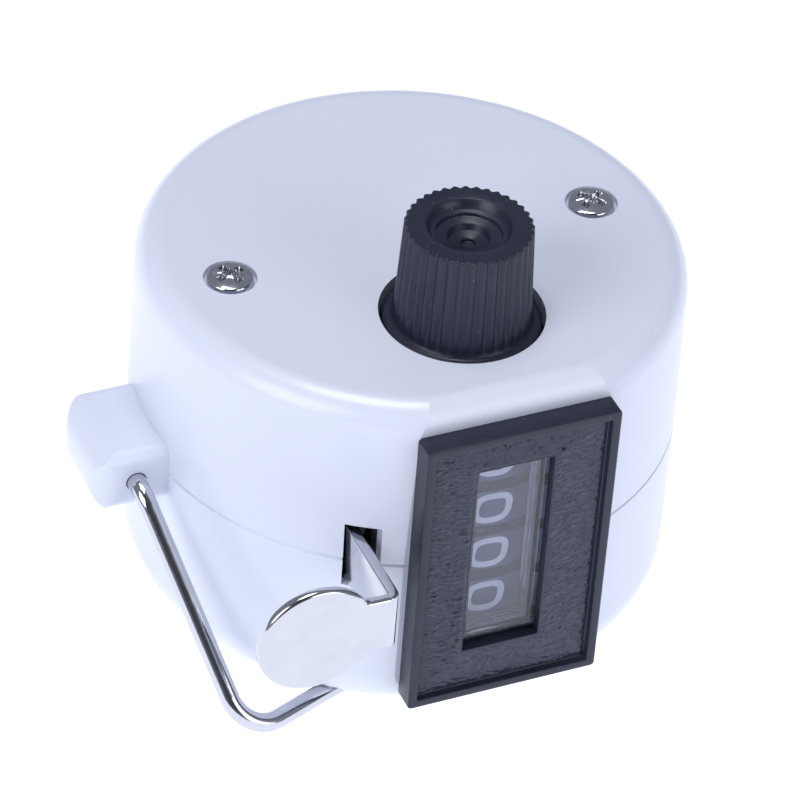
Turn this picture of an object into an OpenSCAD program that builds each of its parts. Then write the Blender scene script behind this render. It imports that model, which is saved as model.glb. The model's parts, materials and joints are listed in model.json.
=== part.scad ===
// Hand tally counter: round two-shell case, four number wheels behind a window,
// reset knob, sprung thumb lever and a fold-under wire finger ring.
// Frame: origin at the middle of the flat back face, Z towards the knob,
// -Y out of the window, X along the line through the two case screws. Millimetres.

/* [Case] */
// Case radius at the parting line
case_r = 22; // [18:0.5:28]
// Case height from back face to top face
case_h = 31; // [28:0.5:36]
// Height of the parting line
split_z = 16.2; // [15:0.1:18]
// Side and top wall thickness
wall = 1.8; // [1.2:0.1:2.4]
// Floor thickness of the lower shell
floor_t = 3; // [2.6:0.1:4]
// Rounding of the top edge
top_round = 2.4; // [1:0.1:4]
// Rounding of the bottom edge
base_round = 5; // [2:0.5:7]
// Draft taken off the radius at the top edge
top_draft = 0.2; // [0:0.05:0.6]
// Distance from the case axis to the flat front
flat_y = 20.3; // [19:0.1:21.5]
// Width of the fine groove along the parting line
seam = 0.16; // [0.05:0.01:0.4]

/* [Window and bezel] */
// Bezel width
bezel_w = 16.1; // [12:0.1:18]
// Bezel height
bezel_h = 26; // [22:0.1:27]
// Height of the bezel's lower edge
bezel_z = 2.75; // [2:0.05:4]
// Bezel thickness on the outside of the case
bezel_t = 1.95; // [1:0.05:3]
// Width of the raised rim round the bezel
rim_w = 0.75; // [0.4:0.05:1.5]
// Depth of the panel inside the rim
panel_d = 0.6; // [0.2:0.05:1]
// Window width
window_w = 6.4; // [5:0.1:8]
// Window height
window_h = 18; // [16:0.1:19]
// Sideways offset of the window
window_x = -0.5; // [-2:0.1:2]
// Height of the window's lower edge
window_z = 7.6; // [6:0.1:9]

/* [Number wheels] */
// Wheel and knob axis, distance in front of the case axis
wheel_y = 9.6; // [8:0.1:11]
// Number wheel radius
wheel_r = 9.4; // [8:0.1:10]
// Spacing of the wheels
pitch = 4.5; // [4:0.05:5]
// Height of the middle of the lowest wheel
wheel_z0 = 10.1; // [9.6:0.05:10.1]
// Width of the numbered drum
drum_w = 3.4; // [3:0.05:3.6]
// Main shaft radius
shaft_r = 1.5; // [1:0.05:2]
// Distance from the main shaft to the transfer shaft
centre_d = 11.9; // [11.8:0.05:12.2]
// Transfer shaft radius
idler_r = 0.8; // [0.6:0.05:1]

/* [Knob and screws] */
// Radius of the knob hole in the top face
knob_hole_r = 6.5; // [5:0.1:8]
// Knob height above the top face
knob_h = 8.3; // [6:0.1:10]
// Knob radius at the foot of the flutes
knob_r1 = 5.4; // [4:0.05:5.8]
// Knob radius at the top of the flutes
knob_r2 = 5; // [4:0.05:5.4]
// Number of flutes
flutes = 36; // [18:1:48]
// Case screw spacing from the axis
screw_x = 15.4; // [14:0.1:16]
// Screw head radius
head_r = 1.82; // [1.5:0.01:2.2]

/* [Lever] */
// Sheet thickness of the thumb lever
sheet = 0.9; // [0.5:0.05:1.2]
// Height of the lever strip
strip_h = 5; // [3:0.1:5.6]
// Sideways position of the lever strip
lever_x = -11.8; // [-12.2:0.05:-11.4]
// Middle height of the lever
lever_z = 16.5; // [16:0.1:17]
// How far the hairpin stands in front of the case axis
reach_y = 26.4; // [24:0.1:28]
// Thumb pad radius
pad_r = 4.75; // [4:0.05:5.5]
// Sideways position of the thumb pad's middle
pad_x = -18.1; // [-19:0.1:-17]

/* [Finger ring] */
// Radius of the ring wire
wire_r = 0.775; // [0.6:0.025:0.9]
// Sideways position of the ring's hinge line
hinge_x = -24.3; // [-25:0.1:-24]
// Bend radius of the ring's corners
ring_bend = 3.2; // [2:0.1:4]
// Height of the folded ring above the table
ring_z = 1.1; // [1.05:0.01:1.2]

/* [Hidden] */
$fn = 64;

// overlap that keeps joined shapes in one solid
eps = 0.02;
// clearance round fixed and running fits
fit = 0.05;
top_r = case_r - top_draft;
// shallow cone between the foot and the rounding of the base
foot_rise = 0.3;
foot_run = sqrt(pow(base_round, 2) - pow(base_round - foot_rise, 2));
in_r = case_r - wall;
in_top = case_h - wall;
in_flat = flat_y - wall;
drum_half = drum_w / 2;
hub_half = pitch / 2 - 0.03;
hub_r = 2.6;
wheel_zs = [for (i = [0:3]) wheel_z0 + i * pitch];
gap_zs = [for (i = [0:2]) wheel_z0 + (i + 0.5) * pitch];
units_top = wheel_zs[3] + drum_half;
// frame plates and the pillars between them
plate_t = 1.2;
plate_lo = 5.2;
plate_hi = 27;
pillar_r = 1.2;
pin_r = 0.7;
pillars = [[9.8, 1.5], [-7.2, 3.4], [10.8, -14.2]];
idler_y = centre_d - wheel_y;
// carry gearing: pinion tips, wheel gear tips and roots, locking ring
pinion_tip = 4;
pinion_root = 2.75;
pinion_hub_r = 1.8;
gear_tip = 9;
gear_root = 7.7;
gear_t = 0.45;
lock_r = 7.6;
lock_t = 0.5;
// drum rim thickness and the height of the web above the drum's middle
rim_t = 1.3;
web_t = 0.7;
strip_lo = lever_z - strip_h / 2;
strip_hi = lever_z + strip_h / 2;
// rear end of the lever strip
arm_end = 6;
// drive pawl and the tab above it
pawl_y = -13.5;
pawl_x = -10.3;
pawl_z = units_top + 0.1;
pawl_t = 0.8;
pawl_pin_r = 0.5;
tab_z = pawl_z + pawl_t + 0.08;
tab_t = 0.6;
// screw pillars, screw shank and the seat of the heads
boss_z = 21.9;
boss_r = 2.6;
screw_r = 1.1;
screw_z = 16;
seat_z = case_h - 0.5;
head_h = 1;
head_dome = 2.6;
// knob flange: its top face below the case top, and its thickness
flange_drop = 0.45;
flange_t = 0.7;
// lug that carries the finger ring: ends along Y, outer side, bottom and top
lug_y0 = -4.2;
lug_y1 = 5;
lug_x = -27.8;
lug_lo = 13.6;
lug_hi = 18.8;
lug_front_r = 1.8;
lug_rear_r = 3.6;
lug_edge_r = 2.2;
lug_end_r = 1;
hole_r = wire_r + 0.07;
// part of the bezel inside the case wall, and the clearance round it
plug_w = 10.6;
plug_z = [7, 26.2];
plug_y = 19.25;
plug_gap = 0.2;
// window lens, a thin-walled cap: front of its flange, front of its raised part,
// how far the flange runs behind the window's edge, and the gap below the raised part
lens_y = 19.85;
lens_front = 21.4;
lens_t = 0.6;
lens_lip = 0.75;
lens_gap = 0.45;
window_x0 = window_x - window_w / 2;
window_x1 = window_x + window_w / 2;
// lever slot in the case wall, X and Z ranges
slot_x = [-12.6, -10.1];
slot_z = [13.7, 19.7];
// guide blocks of the lever strip, X range, and their top
guide_x = [-13.2, -10.4];
guide_top = 17.2;
post_r = 2;
// return spring seat: Y range, X range and top
seat_y = [14.2, 15.6];
seat_x = [-13.8, -9.8];
seat_top = 19.4;
// peg radius inside the return spring
peg_r = 0.8;
// key slot of the main shaft
key_w = 0.5;
key_depth = 0.55;
// groove of the shaft clip
clip_z = 4.42;
clip_w = 0.66;
clip_depth = 0.4;

// corner points of the ring, front to rear
ring_pts = [[hinge_x, -5.7, split_z], [-20.4, -19.3, ring_z], [-3.5, -13, ring_z],
            [-3.5, 13, ring_z], [-17.8, 18.4, ring_z], [hinge_x, 6.5, split_z]];

function unit(v) = v / norm(v);

// ---------- shared shapes ----------

module tube(r_out, r_in, z0, z1) {
  translate([0, 0, z0])
    difference() {
      cylinder(r = r_out, h = z1 - z0);
      translate([0, 0, -1])
        cylinder(r = r_in, h = z1 - z0 + 2);
    }
}

module rod(r, z0, z1) {
  translate([0, 0, z0])
    cylinder(r = r, h = z1 - z0);
}

// box given by its two opposite corners
module slab(p, q) {
  translate(p)
    cube(q - p);
}

module at_wheels() {
  translate([0, -wheel_y, 0])
    children();
}

module at_idler() {
  translate([0, idler_y, 0])
    children();
}

// toothed disc: trapezoid teeth, first tooth centred on the angle phase
module star(n, r_root, r_tip, half_root, half_tip, phase) {
  step = 360 / n;
  pts = [for (i = [0:n - 1]) for (k = [0:3])
    let (a = phase + i * step + [-half_root, -half_tip, half_tip, half_root][k])
    let (r = (k == 0 || k == 3) ? r_root : r_tip)
    [r * cos(a), r * sin(a)]];
  polygon(pts);
}

// rounded body of one shell as a turned profile
module lower_turned() {
  rotate_extrude()
    difference() {
      union() {
        square([case_r - base_round, split_z]);
        translate([0, base_round])
          square([case_r, split_z - base_round]);
        translate([case_r - base_round, base_round])
          circle(base_round);
      }
      // the foot runs up to the rounding as a shallow cone
      polygon([[case_r - base_round, -eps], [case_r - base_round, 0],
               [case_r - base_round + foot_run, foot_rise], [case_r, foot_rise], [case_r, -eps]]);
      polygon([[case_r - seam, split_z + eps], [case_r + 1, split_z + eps],
               [case_r + 1, split_z - seam], [case_r, split_z - seam]]);
    }
}

module upper_turned() {
  z1 = case_h - top_round;
  rotate_extrude()
    union() {
      polygon([[0, split_z], [case_r - seam, split_z], [case_r, split_z + seam],
               [top_r, z1], [0, z1]]);
      translate([0, z1 - 1])
        square([top_r - top_round, top_round + 1]);
      translate([top_r - top_round, z1])
        circle(top_round);
    }
}

// side view of the case seen along X, giving the flat its rounded edges
module flat_envelope(r_top, r_bot) {
  rotate([90, 0, 90])
    translate([0, 0, -case_r - 1])
      linear_extrude(2 * case_r + 2)
        union() {
          translate([-flat_y + r_top, 0])
            square([flat_y + case_r + 1, case_h]);
          translate([-flat_y, r_bot])
            square([flat_y, case_h - r_top - r_bot]);
          translate([-flat_y + r_top, case_h - r_top])
            circle(r_top);
          translate([-flat_y + r_bot, r_bot])
            circle(r_bot);
        }
}

// square with rounded corners, from corner p to corner q
module soft_square(p, q, r) {
  union() {
    translate([p.x + r, p.y])
      square([q.x - p.x - 2 * r, q.y - p.y]);
    translate([p.x, p.y + r])
      square([q.x - p.x, q.y - p.y - 2 * r]);
    for (x = [p.x + r, q.x - r], y = [p.y + r, q.y - r])
      translate([x, y])
        circle(r);
  }
}

module lug() {
  intersection() {
    // ends, seen along X
    rotate([90, 0, 90])
      translate([0, 0, lug_x - 1])
        linear_extrude(14)
          soft_square([lug_y0, lug_lo], [lug_y1, lug_hi], lug_end_r);
    translate([0, 0, lug_lo])
      linear_extrude(lug_hi - lug_lo)
        union() {
          translate([lug_x + lug_rear_r, lug_y0])
            square([10, lug_y1 - lug_y0]);
          translate([lug_x, lug_y0 + lug_front_r])
            square([10, lug_y1 - lug_y0 - lug_front_r - lug_rear_r]);
          translate([lug_x + lug_front_r, lug_y0])
            square([2 * lug_front_r, 2 * lug_front_r]);
          translate([lug_x + lug_front_r, lug_y0 + lug_front_r])
            circle(lug_front_r);
          translate([lug_x + lug_rear_r, lug_y1 - lug_rear_r])
            circle(lug_rear_r);
        }
    translate([0, lug_y1 + 1, 0])
      rotate([90, 0, 0])
        linear_extrude(lug_y1 - lug_y0 + 2)
          union() {
            translate([lug_x + lug_edge_r, lug_lo])
              square([12, lug_hi - lug_lo]);
            translate([lug_x, lug_lo + lug_edge_r])
              square([4, lug_hi - lug_lo - 2 * lug_edge_r]);
            translate([lug_x + lug_edge_r, lug_lo + lug_edge_r])
              circle(lug_edge_r);
            translate([lug_x + lug_edge_r, lug_hi - lug_edge_r])
              circle(lug_edge_r);
          }
  }
}

module cavity(z0, z1) {
  intersection() {
    rod(in_r, z0, z1);
    slab([-30, -in_flat, z0 - 1], [30, 30, z1 + 1]);
  }
}

module case_openings() {
  // window opening in the flat
  slab([-plug_w / 2 - plug_gap, -case_r, plug_z[0] - plug_gap],
       [plug_w / 2 + plug_gap, -in_flat + 2, plug_z[1] + plug_gap]);
  // lever slot
  slab([slot_x[0], -case_r - 2, slot_z[0]], [slot_x[1], -14, slot_z[1]]);
  // hinge bore of the ring
  translate([hinge_x, 10, split_z])
    rotate([90, 0, 0])
      cylinder(r = hole_r, h = 20);
}

// groove under the floor that takes the folded ring
module ring_groove() {
  w = 2 * wire_r + 1.05;
  d = ring_z + wire_r + 0.12;
  for (i = [1:3]) {
    p = ring_pts[i];
    q = ring_pts[i + 1];
    a = atan2(q.y - p.y, q.x - p.x);
    translate([p.x, p.y, -1])
      rotate([0, 0, a])
        translate([0, -w / 2, 0])
          cube([norm(q - p), w, d + 1]);
  }
  for (i = [2:3])
    translate([ring_pts[i].x - 0.5, ring_pts[i].y * 0.96, -1])
      cylinder(r = 2, h = d + 1);
}

// ---------- case ----------

module lower_housing() {
  color("#eef0f6")
  difference() {
    union() {
      difference() {
        union() {
          intersection() {
            lower_turned();
            flat_envelope(2, 3);
          }
          intersection() {
            lug();
            slab([-40, -20, 0], [0, 20, split_z]);
          }
        }
        cavity(floor_t, split_z + 1);
      }
      // screw pillars
      for (s = [-1, 1])
        translate([s * screw_x, 0, 0])
          rod(boss_r, floor_t - 1, boss_z);
      // posts that carry the frame
      for (p = pillars)
        translate([p.x, p.y, 0])
          rod(post_r, floor_t - 1, plate_lo);
      // guides for the lever strip
      slab([guide_x[0], -14.4, floor_t - 1], [guide_x[1], -10.6, guide_top]);
      slab([guide_x[0], 2.4, floor_t - 1], [guide_x[1], 4.9, guide_top]);
      // backing of the return spring's seat
      slab([guide_x[0] + 0.2, seat_y[1] + fit, floor_t - 1], [seat_x[1] + 0.4, 17, split_z]);
    }
    case_openings();
    ring_groove();
    for (s = [-1, 1])
      translate([s * screw_x, 0, 0])
        rod(screw_r + 0.02, 12, boss_z + 1);
    // track for the strip
    slab([lever_x - sheet / 2 - fit - 0.03, -18, strip_lo - fit - 0.01],
         [lever_x + sheet / 2 + fit + 0.03, arm_end + 10, slot_z[1] + 0.3]);
  }
}

module upper_housing() {
  color("#f1f3f8")
  difference() {
    union() {
      difference() {
        union() {
          intersection() {
            upper_turned();
            flat_envelope(2, 3);
          }
          intersection() {
            lug();
            slab([-40, -20, split_z], [0, 20, 40]);
          }
        }
        cavity(split_z - 1, in_top);
      }
      for (s = [-1, 1])
        translate([s * screw_x, 0, 0])
          rod(boss_r, boss_z + fit, in_top + 1);
      for (p = pillars)
        translate([p.x, p.y, 0])
          rod(post_r, plate_hi + plate_t, in_top + 1);
    }
    case_openings();
    for (s = [-1, 1])
      translate([s * screw_x, 0, 0]) {
        rod(screw_r + 0.1, boss_z - 1, case_h + 1);
        rod(head_r + 0.3, seat_z, case_h + 1);
      }
    at_wheels()
      rod(knob_hole_r, in_top - 1, case_h + 1);
  }
}

module housing_screws() {
  color("#c9ccd2")
  for (s = [-1, 1])
    translate([s * screw_x, 0, 0])
      difference() {
        union() {
          rod(screw_r, screw_z, seat_z + 0.2);
          // pan head: short rim under a shallow dome
          intersection() {
            rod(head_r, seat_z, seat_z + head_h + 0.2);
            translate([0, 0, seat_z + head_h - head_dome])
              sphere(r = head_dome);
          }
        }
        for (a = [20, 110])
          rotate([0, 0, a])
            translate([-1.1, -0.24, seat_z + 0.35])
              cube([2.2, 0.48, 2]);
      }
}

// ---------- bezel and lens ----------

module bezel() {
  x0 = -bezel_w / 2;
  z1 = bezel_z + bezel_h;
  front = -flat_y - bezel_t;
  color("#17181c")
  difference() {
    union() {
      slab([x0, front, bezel_z], [x0 + bezel_w, -flat_y, z1]);
      slab([-plug_w / 2, -flat_y - eps, plug_z[0]], [plug_w / 2, -plug_y, plug_z[1]]);
    }
    // sunk panel
    slab([x0 + rim_w, front - 1, bezel_z + rim_w],
         [x0 + bezel_w - rim_w, front + panel_d, z1 - rim_w]);
    // window
    slab([window_x0, front - 1, window_z], [window_x1, 0, window_z + window_h]);
    // seat of the lens
    slab([window_x0 - lens_lip - fit, -lens_y - eps, plug_z[0] + 0.3],
         [window_x1 + lens_lip + fit, 0, plug_z[1] - 0.3]);
  }
}

module window_lens() {
  p = [window_x0 + 0.04, -lens_front, window_z + lens_gap];
  q = [window_x1 - 0.04, 0, window_z + window_h - 0.04];
  color("#dfe8f2", 0.35)
  difference() {
    union() {
      slab([window_x0 - lens_lip, -lens_y, plug_z[0] + 0.34],
           [window_x1 + lens_lip, -plug_y, plug_z[1] - 0.34]);
      slab(p, [q.x, -lens_y + eps, q.z]);
    }
    slab([p.x + lens_t, p.y + lens_t, p.z + lens_t], [q.x - lens_t, 0, q.z - lens_t]);
  }
}

// ---------- fixed frame ----------

module plate_outline() {
  polygon([[-8.6, -17.4], [8.6, -17.4], [12.2, -14.4], [12.2, 3], [8.5, 6.2],
           [-8, 6.2], [-9.4, 4], [-9.4, -14.5]]);
}

module frame_plate(z) {
  translate([0, 0, z])
    difference() {
      linear_extrude(plate_t)
        plate_outline();
      at_wheels()
        rod(shaft_r + fit, -1, 3);
      at_idler()
        rod(idler_r + 0.01, -1, 3);
      for (p = pillars)
        translate([p.x, p.y, 0])
          rod(pin_r + 0.02, -1, 3);
    }
}

module lower_plate() {
  color("#b9bcc2")
    frame_plate(plate_lo);
}

module upper_plate() {
  color("#b9bcc2")
    frame_plate(plate_hi);
}

module frame_pillars() {
  color("#c8a24a")
  for (p = pillars)
    translate([p.x, p.y, 0])
      union() {
        rod(pillar_r, plate_lo + plate_t, plate_hi);
        rod(pin_r, plate_lo + 0.1, plate_hi + plate_t - 0.1);
      }
}

module transfer_shaft() {
  color("#aeb2b8")
  at_idler()
    rod(idler_r, plate_lo, plate_hi + plate_t);
}

module transfer_spacers() {
  color("#d8d3c4")
  at_idler() {
    tube(pinion_hub_r, idler_r + fit, plate_lo + plate_t + 0.04, gap_zs[0] - pitch / 2);
    tube(pinion_hub_r, idler_r + fit, gap_zs[2] + pitch / 2, plate_hi - 0.04);
  }
}

// leaf that clicks on the ratchet, screwed to a pillar
module check_spring() {
  color("#d9dce0")
  difference() {
    union() {
      translate([pillars[2].x, pillars[2].y, 0])
        rod(pillar_r + 0.9, pawl_z + fit, pawl_z + pawl_t);
      translate([pillars[2].x, pillars[2].y + 1.6, pawl_z + fit])
        rotate([0, 0, 104])
          slab([-0.6, 0, 0], [5.6, 0.3, pawl_t - fit]);
    }
    translate([pillars[2].x, pillars[2].y, 0])
      rod(pillar_r + 0.01, 20, 30);
  }
}

// block at the rear end of the lever track that the return spring pushes on
module spring_seat() {
  color("#e4e6ec")
  union() {
    intersection() {
      slab([seat_x[0], seat_y[0], floor_t + 0.01], [seat_x[1], seat_y[1], seat_top]);
      rod(in_r - 0.06, 0, case_h);
    }
    translate([lever_x, seat_y[0] + 0.1, lever_z])
      rotate([90, 0, 0])
        cylinder(r = peg_r, h = 1.6);
  }
}

// ---------- reset train ----------

module main_shaft() {
  color("#aeb2b8")
  at_wheels()
    difference() {
      rod(shaft_r, clip_z - 0.52, case_h + knob_h - 3);
      tube(shaft_r + 1, shaft_r - clip_depth, clip_z, clip_z + clip_w);
      // key slot that gathers the wheels on reset
      slab([shaft_r - key_depth, -key_w / 2, wheel_zs[0] - hub_half],
           [shaft_r + 1, key_w / 2, wheel_zs[3] + hub_half]);
    }
}

module reset_knob() {
  z0 = case_h - flange_drop;
  z1 = case_h + knob_h;
  flute_r = 0.3;
  lean = atan((knob_r1 - knob_r2) / (z1 - z0));
  color("#1b1c20")
  at_wheels()
    difference() {
      union() {
        // flange in the hole and hub below it
        rod(knob_hole_r - 0.3, z0 - flange_t, z0);
        rod(3, plate_hi + plate_t + 0.3, case_h);
        // fluted body
        translate([0, 0, z0 - eps])
          cylinder(r1 = knob_r1 - flute_r, r2 = knob_r2 - flute_r, h = z1 - z0 - 0.5);
        for (i = [0:flutes - 1])
          rotate([0, 0, i * 360 / flutes])
            translate([knob_r1 - flute_r, 0, z0 - eps])
              rotate([0, -lean, 0])
                cylinder(r = flute_r, h = z1 - z0 - 0.45, $fn = 16);
        // crown
        translate([0, 0, z1 - 0.6])
          cylinder(r1 = knob_r2 - 0.05, r2 = knob_r2 - 0.4, h = 0.6);
      }
      // dished top in three steps
      translate([0, 0, z1 - 0.75])
        cylinder(r1 = 2.9, r2 = 3.35, h = 1);
      rod(2.6, z1 - 1.1, z1);
      rod(1.65, z1 - 1.7, z1);
      rod(0.56, z1 - 2, z1);
      rod(shaft_r + 0.01, 20, case_h + knob_h - 2.9);
    }
}

module shaft_clip() {
  color("#8f949b")
  at_wheels()
    difference() {
      tube(shaft_r + 1.4, shaft_r - clip_depth + eps, clip_z + 0.04, clip_z + clip_w - 0.04);
      slab([0, -0.8, clip_z - 1], [4, 0.8, clip_z + 2]);
    }
}

module end_washers() {
  color("#c9ccd2")
  at_wheels() {
    tube(hub_r + 0.2, shaft_r + fit, plate_lo + plate_t + 0.03, wheel_zs[0] - hub_half - 0.03);
    tube(hub_r + 0.2, shaft_r + fit, units_top + 1.05, plate_hi - 0.03);
  }
}

// one number wheel: drum, web, hub, and what it needs on each side
module wheel(zc, geared, kicks) {
  at_wheels()
    translate([0, 0, zc])
      difference() {
        union() {
          tube(wheel_r, wheel_r - rim_t, -drum_half, drum_half);
          rod(wheel_r - rim_t + 0.1, web_t - 0.1, drum_half);
          rod(hub_r, -hub_half, hub_half);
          if (geared)
            translate([0, 0, drum_half - eps])
              linear_extrude(gear_t + eps)
                star(20, gear_root, gear_tip, 4.4, 1.7, 81);
          if (kicks) {
            tube(lock_r, lock_r - 0.7, -drum_half - lock_t, web_t);
            // carry tooth
            rotate([0, 0, 40])
              slab([lock_r - 0.3, -0.5, -drum_half - lock_t],
                   [lock_r + 0.22, 0.5, -drum_half - 0.05]);
            // spokes tying the locking ring to the drum
            for (a = [0, 120, 240])
              rotate([0, 0, a])
                slab([hub_r - 0.5, -0.5, -0.4], [wheel_r - 1, 0.5, web_t]);
          }
        }
        rod(shaft_r + fit, -5, 5);
      }
}

module thousands_wheel() {
  color("#34363c")
    wheel(wheel_zs[0], true, false);
}

module hundreds_wheel() {
  color("#34363c")
    wheel(wheel_zs[1], true, true);
}

module tens_wheel() {
  color("#34363c")
    wheel(wheel_zs[2], true, true);
}

module units_wheel() {
  color("#34363c")
    wheel(wheel_zs[3], false, true);
}

module ratchet() {
  n = 10;
  color("#c8a24a")
  at_wheels()
    translate([0, 0, units_top + 0.02])
      difference() {
        linear_extrude(0.95)
          polygon([for (i = [0:n - 1]) for (k = [0:2])
            let (a = 180 + i * 360 / n + [0, 0, 30][k])
            let (r = [5.9, 7.4, 6.1][k])
            [r * cos(a), -r * sin(a)]]);
        rod(hub_r + 0.01, -1, 3);
      }
}

// ---------- carry pinions ----------

module pinion(zc) {
  at_idler()
    translate([0, 0, zc])
      difference() {
        union() {
          translate([0, 0, -gear_t])
            linear_extrude(2 * gear_t)
              star(8, pinion_root, pinion_tip, 10.4, 4, -90);
          rod(pinion_hub_r, -hub_half + 0.02, hub_half - 0.02);
        }
        rod(idler_r + fit, -5, 5);
      }
}

module thousands_pinion() {
  color("#e9e6dc")
    pinion(gap_zs[0]);
}

module hundreds_pinion() {
  color("#e9e6dc")
    pinion(gap_zs[1]);
}

module tens_pinion() {
  color("#e9e6dc")
    pinion(gap_zs[2]);
}

// ---------- lever ----------

module thumb_lever() {
  // outer radius of the corner, and the thickness of the neck and pad
  bend_r = 0.85;
  pad_t = 0.75;
  y_front = -reach_y;
  xl = lever_x - sheet / 2;
  tab_x = pawl_x + 0.85;
  tab_y = [pawl_y - 1.5, pawl_y + 1.5];
  color("#d5d8dc")
  difference() {
    union() {
      // strip through the slot
      slab([xl, y_front + bend_r, strip_lo], [xl + sheet, arm_end, strip_hi]);
      // hairpin corner
      translate([xl + sheet - bend_r, y_front + bend_r, strip_lo])
        intersection() {
          difference() {
            cylinder(r = bend_r, h = strip_h);
            translate([0, 0, -1])
              cylinder(r = bend_r - sheet + 0.25, h = strip_h + 2);
          }
          slab([-0.3, -3, -1], [3, 0.01, strip_h + 1]);
        }
      // neck and thumb pad
      slab([pad_x, y_front, strip_lo], [xl + sheet - bend_r, y_front + pad_t, strip_hi]);
      translate([pad_x, y_front + pad_t, lever_z])
        rotate([90, 0, 0])
          union() {
            cylinder(r = pad_r, h = pad_t - 0.2);
            cylinder(r1 = pad_r, r2 = pad_r - 0.2, h = pad_t);
          }
      // riser and tab that carry the pawl
      slab([xl, tab_y[0], strip_hi - 1], [xl + sheet, tab_y[1], tab_z + tab_t]);
      slab([xl, tab_y[0], tab_z], [tab_x, tab_y[1], tab_z + tab_t]);
      // tail pin inside the return spring
      translate([lever_x, arm_end + 1.5, lever_z])
        rotate([90, 0, 0])
          cylinder(r = peg_r, h = 2);
    }
    // hole for the pawl pin
    translate([pawl_x, pawl_y, 0])
      rod(pawl_pin_r + 0.01, tab_z - 1, tab_z + 1);
  }
}

// compression spring drawn as its closed turns
module lever_spring() {
  turns = 9;
  y0 = arm_end + 0.2;
  y1 = seat_y[0] - 0.2;
  color("#b6bac0")
  for (i = [0:turns - 1])
    translate([lever_x, y0 + (y1 - y0) * i / (turns - 1), lever_z])
      rotate([90, 0, 0])
        rotate_extrude()
          translate([peg_r + 0.45, 0])
            circle(0.2, $fn = 24);
}

module drive_pawl() {
  color("#c8a24a")
  difference() {
    union() {
      translate([pawl_x, pawl_y, 0])
        rod(1, pawl_z, pawl_z + pawl_t);
      translate([0, 0, pawl_z])
        linear_extrude(pawl_t)
          polygon([[pawl_x - 0.5, pawl_y + 0.6], [pawl_x + 0.8, pawl_y - 0.4],
                   [-7.7, -9.9], [-8.1, -9.5], [-8.9, -9.6]]);
    }
    translate([pawl_x, pawl_y, 0])
      rod(pawl_pin_r + fit, pawl_z - 1, pawl_z + 3);
  }
}

module pawl_pin() {
  color("#aeb2b8")
  translate([pawl_x, pawl_y, 0])
    rod(pawl_pin_r, pawl_z, tab_z + tab_t);
}

// ---------- finger ring ----------

// torus bend at corner b between points a and c
module wire_bend(a, b, c, r) {
  d1 = unit(b - a);
  d2 = unit(c - b);
  turn = acos(d1 * d2);
  u = unit(d2 - (d1 * d2) * d1);
  s = b - d1 * r * tan(turn / 2);
  m = s + u * r;
  n = cross(d1, u);
  multmatrix([[-u.x, d1.x, n.x, m.x], [-u.y, d1.y, n.y, m.y],
              [-u.z, d1.z, n.z, m.z], [0, 0, 0, 1]])
    rotate_extrude(angle = turn, $fn = 40)
      translate([r, 0])
        circle(wire_r - 0.005, $fn = 24);
}

function trim_len(a, b, c, r) = r * tan(acos(unit(b - a) * unit(c - b)) / 2);

// straight piece from b to c, shortened for the bends and let slightly into them
module wire_run(b, c, t0, t1) {
  d = unit(c - b);
  p = b + d * (t0 - 0.06);
  len = norm(c - b) - t0 - t1 + 0.12;
  translate(p)
    rotate([0, acos(d.z), atan2(d.y, d.x)])
      cylinder(r = wire_r, h = len, $fn = 24);
}

module finger_ring() {
  n = len(ring_pts);
  rr = [2.4, ring_bend, 3, 3, ring_bend, 2.4];
  trims = [for (i = [0:n - 1])
    trim_len(ring_pts[(i + n - 1) % n], ring_pts[i], ring_pts[(i + 1) % n], rr[i])];
  color("#d3d6db")
  union() {
    for (i = [0:n - 1]) {
      j = (i + 1) % n;
      wire_bend(ring_pts[(i + n - 1) % n], ring_pts[i], ring_pts[j], rr[i]);
      wire_run(ring_pts[i], ring_pts[j], trims[i], trims[j]);
    }
  }
}

lower_housing();
upper_housing();
housing_screws();
bezel();
window_lens();
lower_plate();
upper_plate();
frame_pillars();
transfer_shaft();
transfer_spacers();
check_spring();
spring_seat();
main_shaft();
reset_knob();
shaft_clip();
end_washers();
thousands_wheel();
hundreds_wheel();
tens_wheel();
units_wheel();
ratchet();
thousands_pinion();
hundreds_pinion();
tens_pinion();
thumb_lever();
lever_spring();
drive_pawl();
pawl_pin();
finger_ring();
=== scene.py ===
import json
import math

import bpy
from mathutils import Matrix, Vector, noise


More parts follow.
